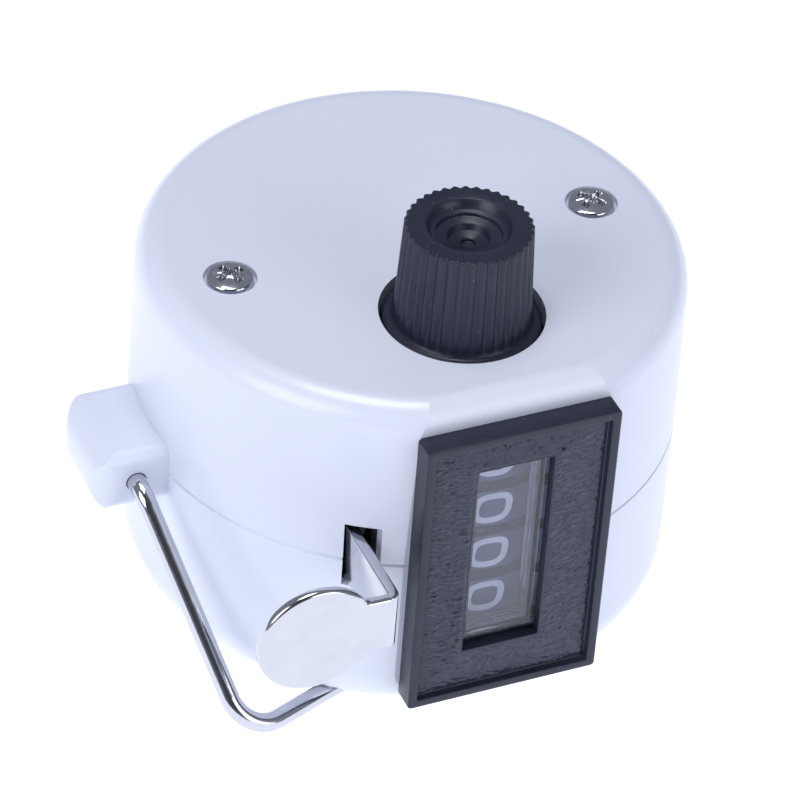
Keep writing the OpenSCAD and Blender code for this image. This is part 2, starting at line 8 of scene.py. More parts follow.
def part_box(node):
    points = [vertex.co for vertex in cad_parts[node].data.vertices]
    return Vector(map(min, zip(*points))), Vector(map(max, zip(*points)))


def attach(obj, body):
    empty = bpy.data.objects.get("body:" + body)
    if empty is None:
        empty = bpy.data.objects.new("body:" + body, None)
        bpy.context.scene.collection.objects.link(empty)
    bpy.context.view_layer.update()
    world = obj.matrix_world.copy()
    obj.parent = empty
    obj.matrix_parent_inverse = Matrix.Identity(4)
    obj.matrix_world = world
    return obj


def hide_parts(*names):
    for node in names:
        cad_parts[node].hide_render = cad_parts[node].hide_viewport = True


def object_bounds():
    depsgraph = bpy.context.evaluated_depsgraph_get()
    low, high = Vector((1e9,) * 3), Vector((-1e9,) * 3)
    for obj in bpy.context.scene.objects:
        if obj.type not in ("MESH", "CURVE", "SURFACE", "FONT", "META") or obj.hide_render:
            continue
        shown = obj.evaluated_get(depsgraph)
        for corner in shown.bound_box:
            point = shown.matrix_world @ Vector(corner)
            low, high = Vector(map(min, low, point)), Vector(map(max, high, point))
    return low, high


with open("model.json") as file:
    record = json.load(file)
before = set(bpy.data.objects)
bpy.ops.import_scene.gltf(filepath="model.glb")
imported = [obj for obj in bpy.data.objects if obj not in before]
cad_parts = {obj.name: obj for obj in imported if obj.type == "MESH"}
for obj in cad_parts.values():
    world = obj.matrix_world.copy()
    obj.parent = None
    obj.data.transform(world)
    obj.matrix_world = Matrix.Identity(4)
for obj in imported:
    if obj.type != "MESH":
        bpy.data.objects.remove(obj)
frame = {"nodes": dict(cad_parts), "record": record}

MM = 0.001
first_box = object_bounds()


# ---------------------------------------------------------------- finishes

NOISE_LOW, NOISE_HIGH = 0.3, 0.7    # the part of a noise's range that is stretched by spread
SPECK_CORE = 0.4                    # share of a speck's radius that has its full colour
SPECK_ABOVE = 0.72                  # a cell holds a speck if its random value is above this
SHADE_WALL = 0.8                    # depth in the round wall at which the painted shade inside starts
SHADE_FLAT = 1.7                    # the same behind the flat that carries the bezel
SHADE_ROOF = 1.75                   # the same under the top
SHADE_FLOOR = 2.9                   # height above which the inside gets painted shade


class Finish:
    """One Principled material with short ways to add noise, colour and relief."""

    def __init__(self, name, colour, rough, metallic=0.0, **values):
        self.mat = bpy.data.materials.new(name)
        self.mat.use_nodes = True
        self.tree = self.mat.node_tree
        self.bsdf = self.tree.nodes["Principled BSDF"]
        self.set("Base Color", (*colour, 1.0))
        self.set("Roughness", rough)
        self.set("Metallic", metallic)
        for key, value in values.items():
            self.set(key.replace("_", " "), value)
        self.where = self.node("TexCoord").outputs["Object"]
        self.last_bump = None

    def set(self, socket, value):
        self.bsdf.inputs[socket].default_value = value

    def node(self, kind, **inputs):
        made = self.tree.nodes.new("ShaderNode" + kind)
        for key, value in inputs.items():
            made.inputs[key.replace("_", " ")].default_value = value
        return made

    def link(self, a, b):
        self.tree.links.new(a, b)

    def maths(self, operation, first, second):
        """Result of a Math node; first is an output, second an output or a number."""
        made = self.node("Math")
        made.operation = operation
        self.link(first, made.inputs[0])
        if isinstance(second, float):
            made.inputs[1].default_value = second
        else:
            self.link(second, made.inputs[1])
        return made.outputs["Value"]

    def stretched(self, scale):
        """Object coordinates stretched by scale along each axis."""
        made = self.node("Mapping", Scale=scale)
        self.link(self.where, made.inputs["Vector"])
        return made.outputs["Vector"]

    def noise(self, scale, detail=3.0, where=None):
        """Noise whose features are 1/scale millimetres across."""
        made = self.node("TexNoise", Scale=scale / MM, Detail=detail)
        self.link(where or self.where, made.inputs["Vector"])
        return made.outputs["Fac"]

    def specks(self, scale, size):
        """1 inside scattered round specks, 0 elsewhere."""
        cells = self.node("TexVoronoi", Scale=scale / MM)
        self.link(self.where, cells.inputs["Vector"])
        inside = self.node("MapRange", From_Min=size, From_Max=size * SPECK_CORE)
        self.link(cells.outputs["Distance"], inside.inputs["Value"])
        split = self.node("SeparateColor")
        self.link(cells.outputs["Color"], split.inputs["Color"])
        rare = self.maths("GREATER_THAN", split.outputs["Red"], SPECK_ABOVE)
        return self.maths("MULTIPLY", inside.outputs["Result"], rare)

    def painted_shade_inside(self):
        """Mask for painted shade: 1 inside the case and in the depth of its openings, 0 on its outer faces.
        """
        lo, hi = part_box("upper_housing")
        apart = self.node("SeparateXYZ")
        self.link(self.where, apart.inputs["Vector"])
        flat = self.node("CombineXYZ")
        self.link(apart.outputs["X"], flat.inputs["X"])
        self.link(apart.outputs["Y"], flat.inputs["Y"])
        length = self.node("VectorMath")
        length.operation = "LENGTH"
        self.link(flat.outputs["Vector"], length.inputs["Vector"])
        inside = self.maths("LESS_THAN", length.outputs["Value"], hi.x - SHADE_WALL * MM)
        for axis, operation, limit in (("Y", "GREATER_THAN", lo.y + SHADE_FLAT * MM),
                                       ("Z", "LESS_THAN", hi.z - SHADE_ROOF * MM),
                                       ("Z", "GREATER_THAN", SHADE_FLOOR * MM)):
            test = self.maths(operation, apart.outputs[axis], limit)
            inside = self.maths("MULTIPLY", inside, test)
        return inside

    def spread(self, fac, low, high, to):
        """The middle of fac's range stretched to low..high and linked to a socket."""
        made = self.node("MapRange", From_Min=NOISE_LOW, From_Max=NOISE_HIGH, To_Min=low, To_Max=high)
        self.link(fac, made.inputs["Value"])
        self.link(made.outputs["Result"], self.bsdf.inputs[to])

    def colours(self, fac, low, high, over=None):
        """Base colour running from low to high with fac, over a colour already there."""
        made = self.node("Mix")
        made.data_type = "RGBA"
        made.inputs["A"].default_value = (*low, 1.0)
        made.inputs["B"].default_value = (*high, 1.0)
        self.link(fac, made.inputs["Factor"])
        if over is not None:
            self.link(over, made.inputs["A"])
        out = made.outputs["Result"]
        self.link(out, self.bsdf.inputs["Base Color"])
        return out

    def bump(self, fac, depth, strength=1.0):
        """Relief of depth millimetres from fac, on top of the relief already there."""
        made = self.node("Bump", Strength=strength, Distance=depth * MM)
        self.link(fac, made.inputs["Height"])
        if self.last_bump:
            self.link(self.last_bump, made.inputs["Normal"])
        self.last_bump = made.outputs["Normal"]
        self.link(self.last_bump, self.bsdf.inputs["Normal"])


def white_plastic():
    f = Finish("white_moulding", (0.72, 0.76, 0.90), 0.3, Coat_Weight=0.25, Coat_Roughness=0.12)
    outer = f.colours(f.noise(0.05, 2.0), (0.715, 0.748, 0.862), (0.745, 0.778, 0.888))
    # painted shade: faces inside the case and deep in its openings are coloured near black
    f.colours(f.painted_shade_inside(), (0, 0, 0), (0.05, 0.052, 0.06), over=outer)
    f.spread(f.noise(0.25, 3.0), 0.29, 0.35, "Roughness")
    f.bump(f.noise(0.09, 2.0), 0.04, 0.25)
    return f.mat


def black_plastic(name, rough, fine):
    f = Finish(name, (0.014, 0.018, 0.036), rough, Specular_IOR_Level=0.42)
    tint = f.colours(f.noise(0.3, 3.0), (0.012, 0.015, 0.031), (0.018, 0.022, 0.042))
    f.colours(f.specks(2.0, 0.1), (0, 0, 0), (0.30, 0.33, 0.42), over=tint)
    f.spread(f.noise(0.8, 4.0), rough - 0.07, rough + 0.07, "Roughness")
    f.bump(f.noise(fine, 3.0), 0.006, 0.4)
    return f.mat


def grained_panel():
    f = Finish("grained_panel", (0.020, 0.025, 0.050), 0.3)
    f.colours(f.noise(1.2, 4.0), (0.016, 0.021, 0.044), (0.026, 0.032, 0.062))
    f.spread(f.noise(2.0, 3.0), 0.285, 0.34, "Roughness")
    f.bump(f.noise(3.5, 3.0), 0.02, 0.4)
    return f.mat


def bright_metal(name, colour, rough, streak=None):
    f = Finish(name, colour, rough, metallic=1.0)
    where = f.stretched(streak) if streak else None
    f.spread(f.noise(1.5, 4.0, where), rough * 0.95, rough * 1.35, "Roughness")
    dull = tuple(c * 0.86 for c in colour)
    f.colours(f.noise(0.5, 4.0), dull, colour)
    f.bump(f.noise(4.0, 3.0, where), 0.004, 0.3)
    return f.mat


def wheel_plastic():
    f = Finish("wheel_moulding", (0.066, 0.074, 0.15), 0.38)
    f.colours(f.noise(0.6, 4.0), (0.056, 0.063, 0.135), (0.082, 0.091, 0.175))
    f.spread(f.noise(1.0, 4.0), 0.3, 0.46, "Roughness")
    f.bump(f.noise(5.0, 3.0), 0.006, 0.4)
    return f.mat


def numeral_paint():
    f = Finish("numeral_paint", (0.92, 0.94, 1.0), 0.45)
    f.colours(f.noise(1.4, 5.0), (0.84, 0.88, 0.98), (0.97, 0.98, 1.0))
    f.spread(f.noise(2.0, 3.0), 0.38, 0.55, "Roughness")
    f.bump(f.noise(5.0, 4.0), 0.01, 0.5)
    return f.mat


def acetal():
    f = Finish("natural_acetal", (0.80, 0.78, 0.72), 0.4)
    f.colours(f.noise(0.4, 3.0), (0.74, 0.72, 0.66), (0.83, 0.81, 0.75))
    f.bump(f.noise(4.0, 3.0), 0.006, 0.4)
    return f.mat


def clear_plastic():
    f = Finish("clear_window", (0.86, 0.89, 1.0), 0.03, Transmission_Weight=0.97, IOR=1.49)
    f.spread(f.noise(0.5, 4.0), 0.015, 0.05, "Roughness")
    f.bump(f.noise(0.35, 2.0), 0.01, 0.2)
    return f.mat


finishes = {
    "white_plastic": white_plastic(),
    "black_plastic": black_plastic("satin_black", 0.36, 4.0),
    "clear_plastic": clear_plastic(),
    "nickel": bright_metal("bright_nickel", (0.64, 0.65, 0.69), 0.11),
    "steel": bright_metal("plain_steel", (0.62, 0.62, 0.64), 0.3, (1.0, 1.0, 6.0)),
    "spring_steel": bright_metal("spring_wire", (0.62, 0.63, 0.66), 0.19),
    "brass": bright_metal("turned_brass", (0.72, 0.53, 0.24), 0.3, (1.0, 1.0, 5.0)),
    "wheel_black": wheel_plastic(),
    "acetal": acetal(),
}
panel_grain = grained_panel()
paint = numeral_paint()

for part in frame["record"]["subparts"]:
    node = frame["nodes"][part["node"]]
    node.data.materials.clear()
    node.data.materials.append(finishes[part["material_slot"]])


# ---------------------------------------------------------------- mesh helpers

class Shell:
    """Vertices in millimetres and faces of one piece."""

    def __init__(self):
        self.verts, self.faces, self.slots = [], [], []

    def add(self, verts, faces, slot=0):
        base = len(self.verts)
        self.verts += [Vector(v) for v in verts]
        self.faces += [tuple(base + i for i in f) for f in faces]
        self.slots += [slot] * len(faces)

    def loops(self, rings, closed=True, caps=(False, False), slot=0):
        """Skin over rings of equal length; closed joins each ring's ends."""
        n, verts, faces = len(rings[0]), [v for r in rings for v in r], []
        for k in range(len(rings) - 1):
            for i in range(n if closed else n - 1):
                j = (i + 1) % n
                faces.append((k * n + i, k * n + j, (k + 1) * n + j, (k + 1) * n + i))
        if caps[0]:
            faces.append(tuple(range(n - 1, -1, -1)))
        if caps[1]:
            faces.append(tuple((len(rings) - 1) * n + i for i in range(n)))
        self.add(verts, faces, slot)

    def turned(self, profile, place, count=96, slot=0, caps=(False, False)):
        """Surface of revolution of (radius, height) points; place maps x, y, h to the frame."""
        rings = []
        for radius, height in profile:
            ring = []
            for i in range(count):
                a = 2 * math.pi * i / count
                ring.append(place(radius * math.cos(a), radius * math.sin(a), height))
            rings.append(ring)
        self.loops(rings, caps=caps, slot=slot)

    def piece(self, name, body, materials, stands_for=(), sharp=40):
        mesh = bpy.data.meshes.new(name)
        mesh.from_pydata([v * MM for v in self.verts], [], self.faces)
        for m in materials:
            mesh.materials.append(m)
        mesh.polygons.foreach_set("material_index", self.slots)
        mesh.update()
        ob = bpy.data.objects.new(name, mesh)
        bpy.context.scene.collection.objects.link(ob)
        mesh.polygons.foreach_set("use_smooth", [True] * len(mesh.polygons))
        mesh.set_sharp_from_angle(angle=math.radians(sharp))
        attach(ob, body)
        if stands_for:
            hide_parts(*stands_for)
        return ob


def box_mm(node):
    lo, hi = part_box(node)
    return lo / MM, hi / MM


def arc(cx, cy, radius, start, end, count):
    """count + 1 points of an arc, angles in degrees."""
    out = []
    for i in range(count + 1):
        a = math.radians(start + (end - start) * i / count)
        out.append((cx + radius * math.cos(a), cy + radius * math.sin(a)))
    return out


def rounded_rect(x0, z0, x1, z1, radius, count=5):
    radius = max(radius, 0.001)
    pts = arc(x1 - radius, z0 + radius, radius, -90, 0, count)
    pts += arc(x1 - radius, z1 - radius, radius, 0, 90, count)
    pts += arc(x0 + radius, z1 - radius, radius, 90, 180, count)
    pts += arc(x0 + radius, z0 + radius, radius, 180, 270, count)
    return pts


def steps(start, end, size):
    count = max(1, math.ceil(abs(end - start) / size))
    return [start + (end - start) * i / count for i in range(count + 1)]


# ---------------------------------------------------------------- bezel

bezel_lo, bezel_hi = box_mm("bezel")
lens_lo, lens_hi = box_mm("window_lens")
BEZEL_OUT = 1.95               # how far the bezel stands out from the flat of the case
FLAT_Y = bezel_lo.y + BEZEL_OUT
RIM = 0.75                     # width of the raised rim
SUNK = 0.6                     # depth of the panel below the rim, at the rim
PANEL_Y = bezel_lo.y + SUNK
RISE = 0.5                     # how far the panel's four sides rise towards the window
LIP = 0.75                     # how far the lens flange runs behind the window's long sides
LIP_ENDS = 0.26                # the same at the window's short sides
LENS_FLANGE = 0.6              # how far the lens flange is behind the front of the lens box
LENS_Y = lens_hi.y - LENS_FLANGE
PLUG = (-5.3, 7.0, 5.3, 26.2)  # left, bottom, right and top of the part in the case wall
GRAIN_STEP = 0.085             # mesh size of the grained panel
GRAIN_DEPTH = 0.18             # height of its relief
GRAIN_FADE_RIM = 0.35          # width over which the relief dies out at the rim
GRAIN_FADE_WINDOW = 0.3        # the same at the window
PANEL_GAP = 0.1                # from the panel's inner edge to the window
window = (lens_lo.x + LIP, lens_lo.z + LIP_ENDS, lens_hi.x - LIP, lens_hi.z - LIP_ENDS)


def grain(x, z):
    """Height of the leather grain, 0 in the creases to 1 on the swells."""
    warp = noise.noise(Vector((x * 0.7, 3.1, z * 0.7)))
    sway = noise.noise(Vector((x * 0.45, 8.3, z * 0.45)))
    u = x * 1.5 + warp * 1.3
    v = z * 3.9 + sway * 2.4 + x * 0.35
    smooth = 0.5 + 0.9 * noise.noise(Vector((u, 0.4, v)))
    ridge = 1.0 - min(1.0, 3.2 * abs(noise.noise(Vector((u * 1.1 + 4.0, 5.2, v)))))
    fine = 0.5 + 0.9 * noise.noise(Vector((u * 2.3, 9.1, v * 1.9)))
    return 0.42 * smooth + 0.38 * ridge + 0.2 * fine


def bezel_rim(shell):
    """Rounded outer edge of the frame, its front face and the step down to the panel."""
    x0, z0, x1, z1 = bezel_lo.x, bezel_lo.z, bezel_hi.x, bezel_hi.z
    front = bezel_lo.y
    edge, inner, corner = 0.16, 0.1, 0.32
    profile = [(0, FLAT_Y + 0.02)]
    profile += [(edge - edge * math.cos(t), front + edge - edge * math.sin(t))
                for t in (0, 0.4, 0.8, 1.2, math.pi / 2)]
    profile += [(RIM - inner + inner * math.sin(t), front + inner - inner * math.cos(t))
                for t in (0, 0.5, 1.0, math.pi / 2)]
    profile += [(RIM + 0.02, PANEL_Y - 0.1), (RIM + 0.1, PANEL_Y), (RIM + 0.16, PANEL_Y + 0.02)]
    rings = []
    for inset, y in profile:
        outline = rounded_rect(x0 + inset, z0 + inset, x1 - inset, z1 - inset, corner - inset * 0.3)
        rings.append([(x, y, z) for x, z in outline])
    shell.loops(rings)


def bezel_plug(shell):
    """The part that goes through the case wall and holds the lens."""
    x0, z0, x1, z1 = PLUG
    wx0, wz0, wx1, wz1 = window
    pocket_x0, pocket_x1 = wx0 - 0.8, wx1 + 0.8
    pocket_z0, pocket_z1 = lens_lo.z - 0.04, lens_hi.z + 0.04
    seat_y = LENS_Y - 0.02
    plug = [(x0, z0, x1, z1, FLAT_Y), (x0, z0, x1, z1, bezel_hi.y),
            (pocket_x0, pocket_z0, pocket_x1, pocket_z1, bezel_hi.y),
            (pocket_x0, pocket_z0, pocket_x1, pocket_z1, seat_y),
            (wx0, wz0, wx1, wz1, seat_y), (wx0, wz0, wx1, wz1, PANEL_Y - RISE + 0.12)]
    for out, y in ((0.03, 0.04), (0.12, 0.03)):
        plug.append((wx0 - out, wz0 - out, wx1 + out, wz1 + out, PANEL_Y - RISE + y))
    shell.loops([[(a, y, b), (c, y, b), (c, y, d), (a, y, d)] for a, b, c, d, y in plug])


def bezel_panel(shell):
    """The grained panel as a real relief, rising towards the window."""
    keep = RIM + 0.08
    wx0, wz0, wx1, wz1 = window

    def lines(start, low, high, end):
        """Grid lines from rim to rim, with one at each side of the window."""
        out = steps(start + keep, low - PANEL_GAP, GRAIN_STEP)
        out += steps(low, high, GRAIN_STEP)
        return out + steps(high + PANEL_GAP, end - keep, GRAIN_STEP)

    xs = lines(bezel_lo.x, wx0, wx1, bezel_hi.x)
    zs = lines(bezel_lo.z, wz0, wz1, bezel_hi.z)
    verts = []
    for z in zs:
        for x in xs:
            rim_gap = min(x - xs[0], xs[-1] - x, z - zs[0], zs[-1] - z)
            away = max(wx0 - PANEL_GAP - x, x - wx1 - PANEL_GAP, wz0 - PANEL_GAP - z, z - wz1 - PANEL_GAP)
            fade = min(1.0, rim_gap / GRAIN_FADE_RIM, max(0.0, away) / GRAIN_FADE_WINDOW)
            climb = max(0.0, min(1.0, (x - xs[0]) / (wx0 - xs[0]), (xs[-1] - x) / (xs[-1] - wx1),
                                 (z - zs[0]) / (wz0 - zs[0]), (zs[-1] - z) / (zs[-1] - wz1)))
            verts.append((x, PANEL_Y + 0.03 - RISE * climb - GRAIN_DEPTH * grain(x, z) * fade, z))
    hole = PANEL_GAP + 0.01
    n = len(xs)
    faces = []
    for j in range(len(zs) - 1):
        for i in range(n - 1):
            mid_x, mid_z = (xs[i] + xs[i + 1]) / 2, (zs[j] + zs[j + 1]) / 2
            if wx0 - hole < mid_x < wx1 + hole and wz0 - hole < mid_z < wz1 + hole:
                continue
            faces.append((j * n + i, j * n + i + 1, (j + 1) * n + i + 1, (j + 1) * n + i))
    shell.add(verts, faces, 1)


def build_bezel():
    shell = Shell()
    bezel_rim(shell)
    bezel_plug(shell)
    bezel_panel(shell)
    shell.piece("bezel_frame", "case", [finishes["black_plastic"], panel_grain],
                ("bezel",), sharp=50)


build_bezel()


# ---------------------------------------------------------------- numerals

# the digits lie on their side: their width runs up the drum and their height round it
DIGIT_W, DIGIT_H, STROKE = 2.95, 3.3, 0.58
SLANT = 0.11                   # how far a digit leans round the drum over its half width
SQUARENESS = 0.7               # 1 draws a bowl as an ellipse, less draws it squarer
DIGIT_STEP = 36                # degrees from one digit to the next
DIGIT_LEFT = 0.25              # how far left of the window's middle the zero sits
PAINT_STEP = 0.25              # longest step along a stroke
PAINT_IN = 0.03                # depth of the paint below the drum's surface
PAINT_OUT = 0.015              # height of the paint above it
MITRE = 0.8                    # limits how far a corner of a stroke may stick out
UNITS_UP = 0.2                 # how much higher the units digits sit on their drum


def bowl(cx, cy, rx, ry, start, end, count=14):
    """Part of a squarish oval; angles in degrees."""
    out = []
    for i in range(count + 1):
        a = math.radians(start + (end - start) * i / count)
        c, s = math.cos(a), math.sin(a)
        out.append((cx + rx * math.copysign(abs(c) ** SQUARENESS, c),
                    cy + ry * math.copysign(abs(s) ** SQUARENESS, s)))
    return out


def oval(cx, cy, rx, ry, count=32):
    """A whole squarish oval, without its last point."""
    return bowl(cx, cy, rx, ry, 0, 360, count)[:-1]


def digit_lines(d):
    """Centre lines of a digit in a box from -1 to 1, each with whether it closes."""
    if d == 0:
        return [(oval(0, 0, 1, 1, 48), True)]
    if d == 1:
        return [([(-0.6, 0.5), (0.1, 1), (0.1, -1)], False)]
    if d == 2:
        return [(bowl(0, 0.42, 1, 0.58, 175, -20) + [(-1, -1), (1, -1)], False)]
    if d == 3:
        return [(bowl(0, 0.5, 0.9, 0.5, 160, -90), False), (bowl(0, -0.5, 1, 0.5, 90, -160), False)]
    if d == 4:
        return [([(0.5, -1), (0.5, 1), (-1, -0.4), (1, -0.4)], False)]
    if d == 5:
        return [([(0.85, 1), (-0.8, 1), (-0.88, 0.12)] + bowl(0, -0.36, 1, 0.64, 130, -160), False)]
    if d == 6:
        return [(oval(0, -0.38, 1, 0.62), True), (bowl(0.1, -0.1, 1.1, 1.1, 60, 190), False)]
    if d == 7:
        return [([(-1, 1), (1, 1), (-0.25, -1)], False)]
    if d == 8:
        return [(oval(0, 0.5, 0.88, 0.5), True), (oval(0, -0.5, 1, 0.5), True)]
    return [(oval(0, 0.38, 1, 0.62), True), (bowl(-0.1, 0.1, 1.1, 1.1, 240, 370), False)]


def finer(points, closed, size):
    """The same line with no step longer than size."""
    out = []
    ends = points[1:] + (points[:1] if closed else [])
    for a, b in zip(points, ends):
        count = max(1, math.ceil(math.dist(a, b) / size))
        out += [(a[0] + (b[0] - a[0]) * i / count, a[1] + (b[1] - a[1]) * i / count)
                for i in range(count)]
    return out if closed else out + [points[-1]]


def ribbon(points, closed, half):
    """Left and right edges of a band along the points, mitred at the corners."""
    n = len(points)
    left, right = [], []
    for i, p in enumerate(points):
        before = points[i - 1] if closed or i else None
        after = points[(i + 1) % n] if closed or i < n - 1 else None
        d1 = Vector(p) - Vector(before) if before else Vector(after) - Vector(p)
        d2 = Vector(after) - Vector(p) if after else d1
        n1 = Vector((-d1.y, d1.x)).normalized()
        n2 = Vector((-d2.y, d2.x)).normalized()
        m = (n1 + n2).normalized()
        m *= half / max(MITRE, m.dot(n1))
        left.append(Vector(p) + m)
        right.append(Vector(p) - m)
    return left, right


def numerals(wheel, rise):
    """The ten painted digits of a wheel, set rise above the middle of its drum."""
    lo, hi = box_mm(wheel)
    radius, centre = (hi.x - lo.x) / 2, (lo + hi) / 2
    low, high = radius - PAINT_IN, radius + PAINT_OUT
    shell = Shell()
    zero = math.asin(((window[0] + window[2]) / 2 - DIGIT_LEFT) / radius) - math.pi / 2

    def wrap(a, b, r, k):
        t = zero + math.radians(DIGIT_STEP * k) - b / radius
        return (centre.x + r * math.cos(t), centre.y + r * math.sin(t), centre.z + rise + a)

    for k in range(10):
        for line, closed in digit_lines(k):
            line = [(a * (DIGIT_W - STROKE) / 2, b * (DIGIT_H - STROKE) / 2 - SLANT * a) for a, b in line]
            left, right = ribbon(finer(line, closed, PAINT_STEP), closed, STROKE / 2)
            rings = []
            for q, p in zip(left, right):
                rings.append([wrap(q.x, q.y, low, k), wrap(q.x, q.y, high, k),
                              wrap(p.x, p.y, high, k), wrap(p.x, p.y, low, k)])
            if closed:
                rings.append(rings[0])
            shell.loops(rings, caps=(not closed, not closed))
    shell.piece(wheel.replace("wheel", "numerals"), wheel, [paint], sharp=35)


for wheel in ("thousands_wheel", "hundreds_wheel", "tens_wheel"):
    numerals(wheel, 0)
numerals("units_wheel", UNITS_UP)


# ---------------------------------------------------------------- reset knob

FLUTES = 36
FLUTE_DEPTH = 0.24
KNOB_SUNK = 0.45               # how far the knob's flange is below the top of the case
KNOB_FOOT, KNOB_SHOULDER = 5.4, 5.0    # radius over the flutes at the foot and at the top


def knob_profile(lo_z, top, base, rim_r):
    """(radius, height, flute depth) from the underside over the flange to the middle of the top."""
    foot, shoulder = KNOB_FOOT, KNOB_SHOULDER
    under, over = base - 0.7, base - 0.6
    profile = [(1.7, lo_z, 0), (3.0, lo_z, 0), (3.0, under, 0), (rim_r - 0.1, under, 0),
               (rim_r, over, 0), (rim_r, base - 0.12, 0), (rim_r - 0.12, base, 0)]
    profile += [(foot + 0.35, base + 0.02, 0), (foot + 0.12, base + 0.1, 0), (foot, base + 0.3, 0)]
    body = top - 0.06 - base
    for t in (0.06, 0.09, 0.13, 0.18, 0.25, 0.4, 0.55, 0.7, 0.85, 0.95, 1.0):
        depth = FLUTE_DEPTH * min(1.0, (t - 0.02) / 0.18)
        profile.append((foot + (shoulder - foot) * t - depth, base + body * t, depth))
    profile += [(shoulder - 0.28, top - 0.01, FLUTE_DEPTH), (shoulder - 0.4, top, 0.2),
                (shoulder - 0.75, top, 0)]
    # the stepped dish in the top, as radius and depth
    dish = [(3.42, 0), (3.33, 0.05), (3.2, 0.3), (2.95, 0.68), (2.85, 0.74), (2.64, 0.75),
            (2.58, 0.8), (2.56, 1.06), (2.5, 1.1), (1.72, 1.1), (1.66, 1.16), (1.6, 1.64),
            (1.52, 1.7), (0.62, 1.7), (0.57, 1.74), (0.55, 1.98), (0.5, 2.0), (0.01, 2.0)]
    return profile + [(radius, top - depth, 0) for radius, depth in dish]


def build_knob():
    lo, hi = box_mm("reset_knob")
    cx, cy = (lo.x + hi.x) / 2, (lo.y + hi.y) / 2
    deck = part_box("upper_housing")[1].z / MM
    shell = Shell()
    count = FLUTES * 12

    def wave(i):
        """1 on the crest of a flute, 0 in the valley, with round crests."""
        t = abs(math.sin(math.pi * FLUTES * i / count))
        return 1.0 - t * t

    rings = []
    for radius, z, flute in knob_profile(lo.z, hi.z, deck - KNOB_SUNK, (hi.x - lo.x) / 2):
        ring = []
        for i in range(count):
            a = 2 * math.pi * i / count
            r = radius + flute * wave(i)
            ring.append((cx + r * math.cos(a), cy + r * math.sin(a), z))
        rings.append(ring)
    shell.loops(rings, caps=(False, True))
    shell.piece("knob_body", "reset_shaft", [finishes["black_plastic"]],
                ("reset_knob",), sharp=50)


build_knob()


# ---------------------------------------------------------------- case screws

SCREW_R = 1.82                 # radius of a screw head
SCREW_DOME = 0.34              # how far the head falls from its middle to its edge
SCREW_SEAT = 1.0               # depth of the head's underside below its top
CROSS_LONG, CROSS_HALF = 1.15, 0.27    # length and half width of an arm of the cross
CROSS_HUB = 0.52               # radius of the hole where the arms meet
THREAD_PITCH = 0.42


def screw_top(turn, top):
    """Height of a cross-recess head over its middle; turn is the angle of the cross."""

    def height(x, y):
        r = math.hypot(x, y)
        dome = top - SCREW_DOME * (r / SCREW_R) ** 2
        u, v = x * math.cos(turn) + y * math.sin(turn), y * math.cos(turn) - x * math.sin(turn)
        arm = max(min(CROSS_LONG - abs(u), CROSS_HALF - abs(v)),
                  min(CROSS_LONG - abs(v), CROSS_HALF - abs(u)), CROSS_HUB - r)
        deep = min(1.0, max(0.0, arm + 0.06) / 0.16)
        # short ticks between the arms
        tick = max(0.0, 0.07 - abs(abs(u) - abs(v)) * 0.7) / 0.07 if 0.62 < r < 1.3 else 0.0
        return dome - deep * (0.72 - 0.25 * r) - 0.05 * tick

    return height


def screw_shank(top, tip):
    """(radius, height) from the edge of the head down over the thread to the tip."""
    head_r = SCREW_R
    edge = top - SCREW_DOME * ((head_r - 0.14) / head_r) ** 2
    seat = top - SCREW_SEAT
    out = [(head_r - 0.05, edge - 0.06), (head_r, edge - 0.16), (head_r, seat + 0.05),
           (head_r - 0.05, seat), (1.0, seat)]
    z = seat - 0.4
    while z > tip + 0.8:
        out += [(1.08, z), (1.08, z - 0.08), (0.86, z - 0.2), (0.86, z - 0.3)]
        z -= THREAD_PITCH
    return out + [(0.3, tip)]


def build_screw(name, cx, turn, top, tip):
    height = screw_top(turn, top)
    shell = Shell()
    count = 160
    rings = []
    for r in steps(0.0, SCREW_R - 0.14, 0.042):
        ring = []
        for i in range(count):
            a = 2 * math.pi * i / count
            x, y = max(r, 0.003) * math.cos(a), max(r, 0.003) * math.sin(a)
            ring.append((cx + x, y, height(x, y)))
        rings.append(ring)
    for r, z in screw_shank(top, tip):
        angles = [2 * math.pi * i / count for i in range(count)]
        rings.append([(cx + r * math.cos(a), r * math.sin(a), z) for a in angles])
    shell.loops(rings, caps=(True, True))
    shell.piece(name, "case", [finishes["nickel"]], ("housing_screws",), sharp=45)


def build_screws():
    lo, hi = box_mm("housing_screws")
    build_screw("case_screw_left", lo.x + SCREW_R, math.radians(20), hi.z, lo.z)
    build_screw("case_screw_right", hi.x - SCREW_R, math.radians(34), hi.z, lo.z)


build_screws()


# ---------------------------------------------------------------- thumb lever

SHEET = 0.9                    # thickness of the lever's strip
STRIP_H = 5.0                  # height of the strip
TURN_R = 0.85                  # outer radius of the corner before the pad
PAD_T, PAD_R = 0.75, 4.75      # thickness and radius of the thumb pad
PAD_LIP = 0.34                 # radius of the pad's rolled edge
NECK_FILLET = 0.6              # radius between the neck and the pad
TAIL_R = 0.8                   # radius of the pin at the lever's rear


def lever_strip(shell, strip_x, front, rear, mid_z):
    """The strip and the corner in one sweep; returns the middle of the corner."""
    # x, y, heading and thickness of each section
    path = [(strip_x, y, 0.0, SHEET) for y in steps(rear, front + TURN_R + 0.2, 2.0)]
    centre = (strip_x + SHEET / 2 - TURN_R, front + TURN_R)
    for i in range(9):
        a = math.radians(90 * i / 8)
        t = SHEET + (PAD_T - SHEET) * i / 8
        r = TURN_R - t / 2
        path.append((centre[0] + r * math.cos(a), centre[1] - r * math.sin(a), a, t))
    rings = []
    for x, y, a, t in path:
        section = rounded_rect(-t / 2, -STRIP_H / 2, t / 2, STRIP_H / 2, 0.14, 3)
        rings.append([(x + u * math.cos(a), y - u * math.sin(a), mid_z + v) for u, v in section])
    shell.loops(rings, caps=(True, True))
    return centre


